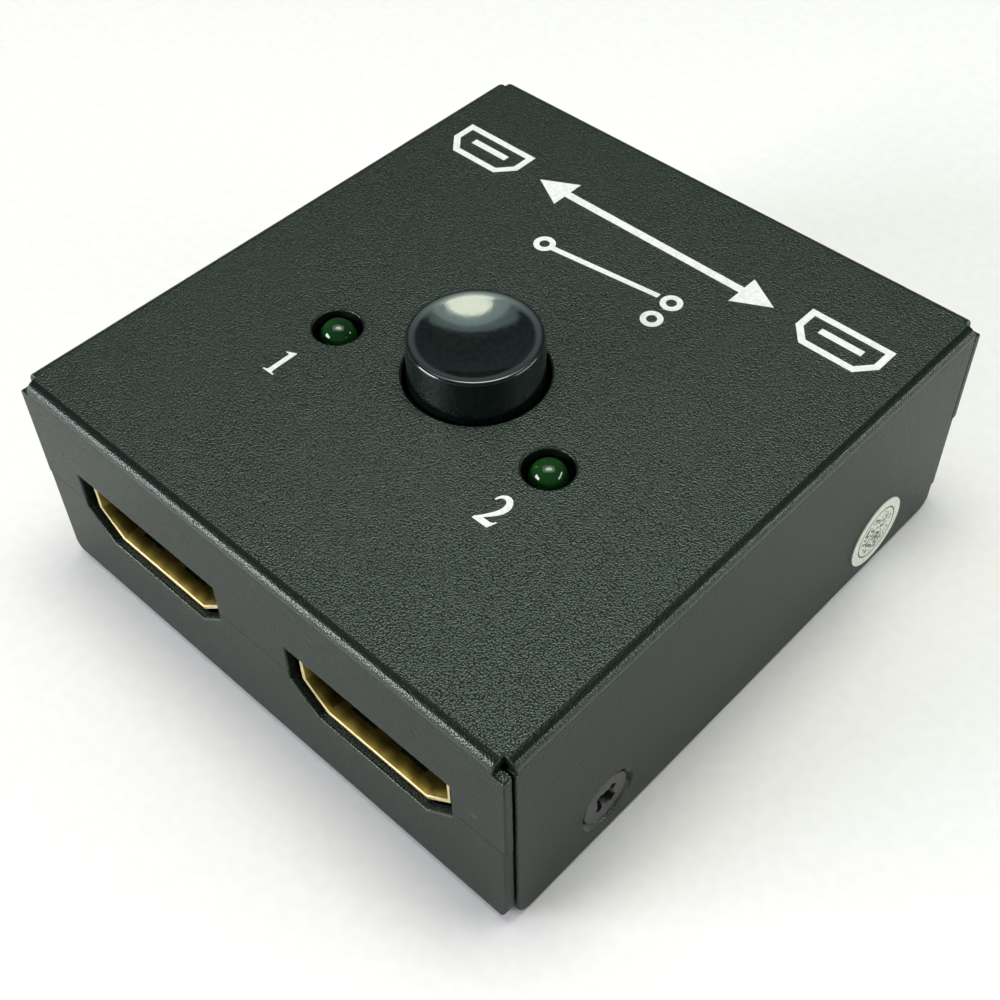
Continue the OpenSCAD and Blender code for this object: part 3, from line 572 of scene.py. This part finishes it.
def board_laminate():
    """Green solder mask over copper tracks that show as lighter lines."""
    material, tree, shader, grain = grained_finish(
        "board_laminate", (0.012, 0.075, 0.03), (0.022, 0.12, 0.05), 900.0, 0.22, 0.36, 0.006 * MM
    )
    place = add(tree, "TexCoord")
    tracks = add(
        tree, "TexBrick",
        {"Color1": rgba(0, 0, 0), "Color2": rgba(0, 0, 0), "Mortar": rgba(1, 1, 1), "Scale": 420.0,
         "Mortar Size": 0.045, "Mortar Smooth": 0.1, "Brick Width": 1.6, "Row Height": 0.42},
    )
    tree.links.new(place.outputs["Object"], tracks.inputs["Vector"])
    tone = blend(tree, tracks.outputs["Color"], grain.outputs["Color"], rgba(0.05, 0.2, 0.085))
    tree.links.new(tone, shader.inputs["Base Color"])
    return material


def lamp_green():
    """Clear green epoxy, nearly black where it is thick."""
    return grained_finish(
        "lamp_green", (0.004, 0.042, 0.006), (0.008, 0.066, 0.01), 500.0, 0.02, 0.05, 0.0004 * MM,
        IOR=1.55, Transmission_Weight=0.4,
    )[0]


def chip_epoxy():
    return grained_finish(
        "chip_epoxy", (0.014, 0.014, 0.015), (0.03, 0.03, 0.032), 5000.0, 0.5, 0.66, 0.012 * MM
    )[0]


def resistor_ceramic():
    return grained_finish(
        "resistor_ceramic", (0.02, 0.02, 0.022), (0.05, 0.05, 0.055), 2600.0, 0.25, 0.4, 0.004 * MM
    )[0]


def capacitor_ceramic():
    return grained_finish(
        "capacitor_ceramic", (0.3, 0.2, 0.11), (0.42, 0.3, 0.18), 2600.0, 0.35, 0.5, 0.006 * MM
    )[0]


FINISHES = {
    "powder_coat": powder_coat(),
    "screw_black": screw_black(),
    "sticker_paper": sticker_paper(),
    "board_laminate": board_laminate(),
    "bright_steel": bright_steel(),
    "shell_gold": shell_gold(),
    "contact_gold": contact_gold(),
    "socket_plastic": socket_plastic(),
    "button_black": button_gloss(),
    "plunger_white": plunger_white(),
    "wiper_bronze": wiper_bronze(),
    "switch_plastic": switch_plastic(),
    "tinned_metal": tinned_metal(),
    "lamp_green": lamp_green(),
    "chip_epoxy": chip_epoxy(),
    "resistor_ceramic": resistor_ceramic(),
    "capacitor_ceramic": capacitor_ceramic(),
}
WALL_COAT_PAINTED_SHADE = wall_coat_painted_shade()
BEND_COAT = bend_coat()
EDGE_PAINTED_SHADE = edge_painted_shade()
INK = white_ink()


def finish_packed_nodes():
    """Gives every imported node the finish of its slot."""
    for node, piece in frame["nodes"].items():
        piece.material_slots[0].material = FINISHES[SLOT_OF[node]]


# Pieces

FOLD = 1.0
CORNER_ROUND = 2.4 * MM
SHEET_EASE = 0.16 * MM
SEAM_GAP = 0.2
WALL_SLOPE, BEND_SLOPE, EDGE_SLOPE = 0.2, 0.76, 0.985
CASE_HALF = [(high - low) / 2 / MM for low, high in zip(*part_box("top_cover"))]


def on_cover_skin(point):
    """Whether a point, in millimetres, lies on the outside of the cover."""
    x, y, top = abs(point.x), abs(point.y), COVER_TOP / MM
    for reach, half in ((y, CASE_HALF[1]), (x, CASE_HALF[0])):
        if reach > half - FOLD and point.z > top - FOLD:
            if math.hypot(reach - half + FOLD, point.z - top + FOLD) > FOLD - 0.06:
                return True
    return y > CASE_HALF[1] - 0.05 or x > CASE_HALF[0] - 0.15 or point.z > top - 0.05


def on_tray_skin(point):
    """Whether a point, in millimetres, lies on the outside of the tray's end walls."""
    return abs(point.y) > CASE_HALF[1] - 0.05 and point.z > FOLD


def coat_walls(sheet):
    """Gives a folded sheet the coats of its walls, its bends and the edges of its flat faces; the
    walls and the edges of the flat faces get painted shade.
    """
    for coat in (WALL_COAT_PAINTED_SHADE, BEND_COAT, EDGE_PAINTED_SHADE):
        sheet.data.materials.append(coat)
    for face in sheet.data.polygons:
        slope = abs(face.normal.z)
        if slope < WALL_SLOPE:
            face.material_index = 1
        elif slope < BEND_SLOPE:
            face.material_index = 2
        elif slope < EDGE_SLOPE:
            face.material_index = 3


def round_end_corners(tray):
    """Cuts the lower corners of both end walls to a wider round."""
    half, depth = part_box("bottom_tray")[1].x, 2 * FOLD * MM
    inner = CASE_HALF[1] * MM - FOLD * MM + 0.02 * MM
    middle, clear = half - CORNER_ROUND, 0.3 * MM
    curve = arc((middle, CORNER_ROUND), CORNER_ROUND, -80, -10, 10)
    outline = [(curve[0][0], -clear)] + curve
    outline += [(half + clear, curve[-1][1]), (half + clear, -clear)]
    for across in (-1, 1):
        for end in (-1, 1):
            points = [(across * x, end * inner, z) for x, z in outline]
            cutter = draw_line("corner_cutter", points)
            bpy.ops.mesh.edge_face_add()
            bpy.ops.mesh.extrude_region_move(TRANSFORM_OT_translate={"value": (0, end * depth, 0)})
            bpy.ops.mesh.select_all(action="SELECT")
            bpy.ops.mesh.normals_make_consistent(inside=False)
            leave_edit()
            finish_with(tray, "BOOLEAN", operation="DIFFERENCE", object=cutter, solver="EXACT")
            bpy.data.objects.remove(cutter)
    settle(tray)


def make_case_sheets():
    """Folded cover and tray with softly coated outer edges, sharp only along the seam."""
    seam = COVER_TOP / MM / 2

    def off_seam(a, b):
        return max(abs(a.z - seam), abs(b.z - seam)) >= SEAM_GAP

    def cover_edge(a, b):
        return off_seam(a, b) and on_cover_skin(a) and on_cover_skin(b)

    def tray_edge(a, b):
        return off_seam(a, b) and on_tray_skin(a) and on_tray_skin(b)

    cover = eased_copy("top_cover", "cover_sheet", SHEET_EASE, cover_edge)
    stand_for(cover, "top_cover", FINISHES["powder_coat"])
    coat_walls(cover)
    tray = eased_copy("bottom_tray", "tray_sheet", SHEET_EASE, tray_edge)
    round_end_corners(tray)
    stand_for(tray, "bottom_tray", FINISHES["powder_coat"])
    coat_walls(tray)


def make_cover_screws():
    """Cross-recess screws with all their edges eased."""
    screws = eased_copy("cover_screws", "cross_screws", 0.06 * MM, lambda a, b: True, segments=2)
    stand_for(screws, "cover_screws", FINISHES["screw_black"])


def make_socket_shells():
    """Flared shells with rounded lips."""
    for socket in ("input_socket_1", "input_socket_2", "output_socket"):
        low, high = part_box(socket + "_shell")
        mouth = max(abs(low.y), abs(high.y)) / MM

        def lip_edge(a, b):
            return min(abs(a.y), abs(b.y)) > mouth - 0.02

        shell = eased_copy(socket + "_shell", socket + "_flared_shell", 0.09 * MM, lip_edge)
        stand_for(shell, socket + "_shell", FINISHES["shell_gold"])


def make_button():
    """Dished cap: rounded rim, tapering wall, hollow underside and a boss bored for the stem."""
    middle = (BUTTON_LOW + BUTTON_HIGH) / 2
    low, top = BUTTON_LOW.z, BUTTON_HIGH.z
    foot = (BUTTON_HIGH.x - BUTTON_LOW.x) / 2
    rim = foot - BUTTON_TAPER
    dish_edge, dish_depth = rim - 0.6 * MM, 1.2 * MM
    dish_radius = (dish_edge ** 2 + dish_depth ** 2) / (2 * dish_depth)
    dish_middle = (0.0, top - dish_depth + dish_radius)
    dish_turn = math.degrees(math.asin((dish_edge - 0.28 * MM) / dish_radius))
    round_rim = 0.3 * MM
    wall, boss, stem_half = 1.1 * MM, 3.43 * MM, 2.02 * MM
    roof = top - dish_depth - 1.0 * MM
    outline = arc(dish_middle, dish_radius, -90, -90 + dish_turn, 22)
    for inward, down in ((0.72, 0.085), (0.55, 0.032), (0.4, 0.006)):
        outline.append((rim - inward * MM, top - down * MM))
    outline += arc((rim - round_rim, top - round_rim), round_rim, 90, 3, 10)
    outline += [(foot - 0.03 * MM, low + 0.1 * MM), (foot - 0.1 * MM, low)]
    outline += [(rim - wall, low), (rim - wall, roof), (boss, roof), (boss, low), (0.0, low)]
    cap = turn_piece("dished_button", middle, outline)
    deselect_all()
    bore_middle = (middle.x, middle.y, (low + roof) / 2 - 0.5 * MM)
    bpy.ops.mesh.primitive_cube_add(size=1.0, location=bore_middle)
    cutter = bpy.context.object
    cutter.scale = (2 * stem_half, 2 * stem_half, roof - low + 1.0 * MM)
    finish_with(cap, "BOOLEAN", operation="DIFFERENCE", object=cutter, solver="EXACT")
    bpy.data.objects.remove(cutter)
    settle(cap, 40)
    stand_for(cap, "button_cap", FINISHES["button_black"])


def make_lamp_lenses():
    """Domed lamp lenses with their flanges."""
    for node in LAMPS:
        low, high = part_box(node)
        middle = (low + high) / 2
        middle.y = low.y + (high.x - low.x) / 2
        radius, flange, flange_high = 1.5 * MM, (high.x - low.x) / 2, 1.0 * MM
        outline = arc((0.0, high.z - radius), radius, 90, 0, 16)
        outline += [(radius, low.z + flange_high), (flange - 0.08 * MM, low.z + flange_high)]
        outline += [(flange, low.z + flange_high - 0.08 * MM), (flange, low.z + 0.05 * MM)]
        outline += [(flange - 0.05 * MM, low.z), (0.0, low.z)]
        lens = turn_piece(node.replace("_lens", "_dome"), middle, outline, steps=64)
        settle(lens, 40)
        stand_for(lens, node, FINISHES["lamp_green"])


def make_return_spring():
    """The switch's spring, a smooth copy of the imported coil with a mesh of its own."""
    spring = bpy.data.objects.new("return_spring", frame["nodes"]["switch_spring"].data.copy())
    bpy.context.scene.collection.objects.link(spring)
    edit(spring)
    bpy.ops.mesh.remove_doubles(threshold=MERGE_GAP)
    leave_edit()
    settle(spring, 60)
    stand_for(spring, "switch_spring", FINISHES["bright_steel"])
    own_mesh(spring)


# Print on the top face, outlines in millimetres

INK_THICK = 0.02 * MM
ONE_HIGH, TWO_HIGH = 2.85, 3.2
NUMERAL_Y, LEVER_Y, SOCKET_Y = -14.1, 11.7, 18.0
ONE = [
    (0.07, 0.0), (0.47, 0.0), (0.47, 0.04), (0.4, 0.05), (0.36, 0.08), (0.35, 0.15), (0.35, 1.0),
    (0.32, 1.0), (0.06, 0.875), (0.07, 0.84), (0.14, 0.86), (0.18, 0.85), (0.195, 0.8),
    (0.195, 0.15), (0.185, 0.08), (0.145, 0.05), (0.07, 0.04),
]
TWO = [
    (0.02, 0.0), (0.47, 0.0), (0.55, 0.25), (0.515, 0.25), (0.485, 0.19), (0.44, 0.165), (0.36, 0.16),
    (0.2, 0.16), (0.31, 0.28), (0.41, 0.4), (0.485, 0.53), (0.51, 0.66), (0.5, 0.77), (0.455, 0.88),
    (0.38, 0.96), (0.275, 1.0), (0.17, 0.98), (0.085, 0.91), (0.04, 0.81), (0.03, 0.73),
    (0.065, 0.725), (0.1, 0.8), (0.15, 0.85), (0.215, 0.865), (0.285, 0.84), (0.33, 0.77),
    (0.345, 0.68), (0.33, 0.57), (0.285, 0.45), (0.21, 0.32), (0.12, 0.18), (0.02, 0.05),
]
ARROW = [
    (-12.6, 0.0), (-9.4, -1.75), (-9.4, -0.38), (9.4, -0.38), (9.4, -1.75), (12.6, 0.0),
    (9.4, 1.75), (9.4, 0.38), (-9.4, 0.38), (-9.4, 1.75),
]
SOCKET_SIGN = [(-3.9, 2.0), (-3.9, -0.4), (-2.5, -2.0), (2.5, -2.0), (3.9, -0.4), (3.9, 2.0)]
TONGUE_SIGN = [(-2.0, -0.1), (2.0, -0.1), (2.0, 0.55), (-2.0, 0.55)]
LEVER_SIGN = [(-5.5, -0.27), (4.9, 1.0), (4.9, 1.5), (-5.5, 0.27)]


def print_shape(name, outline, shift, size=1.0, line=None):
    """Fills a drawn outline, keeps only its border where a line width is given, and thickens it."""
    points = [
        (MM * (shift[0] + size * x), MM * (shift[1] + size * y), COVER_TOP) for x, y in outline
    ]
    shape = draw_line(name, points)
    bpy.ops.mesh.edge_face_add()
    if line:
        bpy.ops.mesh.inset(thickness=line * MM)
        bpy.ops.mesh.delete(type="FACE")
    bpy.ops.mesh.select_all(action="SELECT")
    bpy.ops.mesh.normals_make_consistent(inside=False)
    bpy.ops.mesh.extrude_region_move(TRANSFORM_OT_translate={"value": (0, 0, INK_THICK)})
    bpy.ops.mesh.select_all(action="SELECT")
    bpy.ops.mesh.normals_make_consistent(inside=False)
    leave_edit()
    settle(shape)
    return shape


def join_print(name, shapes):
    activate(shapes[0])
    for shape in shapes:
        shape.select_set(True)
    bpy.ops.object.join()
    joined = bpy.context.object
    joined.name = joined.data.name = name
    return joined


def circle_outline(x, y, radius, steps=28):
    turns = [math.tau * k / steps for k in range(steps)]
    return [(x + radius * math.cos(t), y + radius * math.sin(t)) for t in turns]


def make_print():
    """Port numbers, and plain signs for sockets, two directions and a changeover switch."""
    printed = [
        print_shape("numeral_1", ONE, (-12.73, NUMERAL_Y), ONE_HIGH),
        print_shape("numeral_2", TWO, (9.95, NUMERAL_Y), TWO_HIGH),
        print_shape("two_way_arrow", ARROW, (0.0, SOCKET_Y)),
    ]
    for side, x in (("left", -18.9), ("right", 18.9)):
        border = print_shape("border", SOCKET_SIGN, (x, SOCKET_Y), line=0.6)
        tongue = print_shape("tongue", TONGUE_SIGN, (x, SOCKET_Y))
        printed.append(join_print("socket_sign_" + side, [border, tongue]))
    shapes = [print_shape("lever", LEVER_SIGN, (0.0, LEVER_Y))]
    for x, y in ((-6.4, 0.0), (6.2, 1.25), (6.2, -1.25)):
        ring = circle_outline(x, y, 0.95)
        shapes.append(print_shape("terminal", ring, (0.0, LEVER_Y), line=0.5))
    printed.append(join_print("changeover_sign", shapes))
    for shape in printed:
        shape.data.materials.append(INK)
        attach(shape, "case")


# Studio

FLOOR_WIDE = 3.0
FLOOR_DROP = 0.05 * MM
CLEAR_REACH = 0.3 * MM


def make_floor():
    """White paper floor, clear from below and right under the box so the underside can be seen."""
    deselect_all()
    bpy.ops.mesh.primitive_plane_add(size=FLOOR_WIDE, location=(0, 0, -FLOOR_DROP))
    floor = bpy.context.object
    floor.name = "floor"
    material, tree, shader, _ = grained_finish(
        "floor_paper", (0.925, 0.925, 0.935), (0.945, 0.945, 0.955), 900.0, 0.85, 0.95, 0.002 * MM
    )
    seen = add(tree, "NewGeometry")
    ray = add(tree, "LightPath")
    near = add(tree, "Math", {1: CLEAR_REACH}, operation="LESS_THAN")
    tree.links.new(ray.outputs["Ray Length"], near.inputs[0])
    let_through = add(tree, "Math", operation="MAXIMUM")
    tree.links.new(seen.outputs["Backfacing"], let_through.inputs[0])
    tree.links.new(near.outputs[0], let_through.inputs[1])
    clear = add(tree, "BsdfTransparent")
    either = add(tree, "MixShader")
    tree.links.new(let_through.outputs[0], either.inputs[0])
    tree.links.new(shader.outputs[0], either.inputs[1])
    tree.links.new(clear.outputs[0], either.inputs[2])
    tree.links.new(either.outputs[0], tree.nodes["Material Output"].inputs["Surface"])
    floor.data.materials.append(material)


VIEW_AZIMUTH = math.radians(44.505)
VIEW_RIGHT = Vector((math.cos(VIEW_AZIMUTH), math.sin(VIEW_AZIMUTH), 0))
VIEW_AWAY = Vector((-math.sin(VIEW_AZIMUTH), math.cos(VIEW_AZIMUTH), 0))
UPWARD = Vector((0, 0, 1))


def soft_lamp(name, spot, width, height, radiance, colour, shape="RECTANGLE"):
    """A soft lamp of a given brightness at a spot, facing the box."""
    deselect_all()
    target = Vector((0, 0, 20 * MM))
    towards = (spot - target).normalized()
    across = VIEW_RIGHT if towards.z > 0.8 else UPWARD.cross(towards)
    across = (across - across.dot(towards) * towards).normalized()
    turn = Matrix((across, towards.cross(across), towards)).transposed()
    bpy.ops.object.light_add(type="AREA", location=spot, rotation=turn.to_euler())
    lamp = bpy.context.object
    lamp.name = name
    lamp.data.shape = shape
    lamp.data.size, lamp.data.size_y = width, height
    area = width * height * (math.pi / 4 if shape == "ELLIPSE" else 1.0)
    lamp.data.energy = radiance * math.pi * area
    lamp.data.color = colour


def light_studio():
    """Overhead panel, warm lamp in a glow, low lights at front left and back right, one below."""
    panel = VIEW_AWAY * 0.065 + UPWARD * 0.47
    soft_lamp("overhead_panel", panel, 0.55, 0.37, 0.85, (0.82, 1.0, 0.98))
    lamp = VIEW_RIGHT * 0.021 + VIEW_AWAY * 0.03 + UPWARD * 0.42
    soft_lamp("warm_lamp", lamp, 0.25, 0.14, 8.2, (1.0, 0.9, 0.74), "ELLIPSE")
    soft_lamp("lamp_glow", lamp + UPWARD * 0.01, 0.5, 0.3, 1.2, (0.9, 0.99, 1.0), "ELLIPSE")
    front_left = Vector((-0.21, -0.37, 0.14))
    soft_lamp("front_left_light", front_left, 0.24, 0.14, 15.5, (0.98, 0.95, 1.0))
    back_right = Vector((0.174, 0.112, 0.087))
    soft_lamp("right_strip", back_right, 0.16, 0.025, 11.0, (1.0, 1.0, 1.0))
    below = Vector((0.06, -0.12, -0.34))
    soft_lamp("underside_light", below, 0.4, 0.4, 1.6, (1.0, 1.0, 1.0))
    world = bpy.data.worlds.new("room")
    bpy.context.scene.world = world
    world.use_nodes = True
    world.node_tree.nodes["Background"].inputs["Color"].default_value = rgba(0.09, 0.094, 0.096)


def place_camera():
    """Camera at the photograph's viewing angle."""
    elevation, roll = math.radians(48.891), math.radians(-1.64)
    distance, across, upward = 130.389 * MM, -0.778 * MM, 2.069 * MM
    back = math.sin(elevation) * UPWARD - math.cos(elevation) * VIEW_AWAY
    level_up = back.cross(VIEW_RIGHT)
    right = math.cos(roll) * VIEW_RIGHT + math.sin(roll) * level_up
    up = math.cos(roll) * level_up - math.sin(roll) * VIEW_RIGHT
    turn = Matrix((right, up, back)).transposed()
    spot = across * right + upward * up + distance * back
    bpy.ops.object.camera_add(location=spot, rotation=turn.to_euler())
    camera = bpy.context.object
    camera.data.lens, camera.data.sensor_width = 52.775, 36.0
    camera.data.clip_start, camera.data.clip_end = 0.005, 10.0
    bpy.context.scene.camera = camera


place_camera()
light_studio()
make_floor()
finish_packed_nodes()
make_case_sheets()
make_cover_screws()
make_socket_shells()
make_button()
make_lamp_lenses()
make_return_spring()
make_print()

bpy.context.scene.view_settings.view_transform = "Standard"
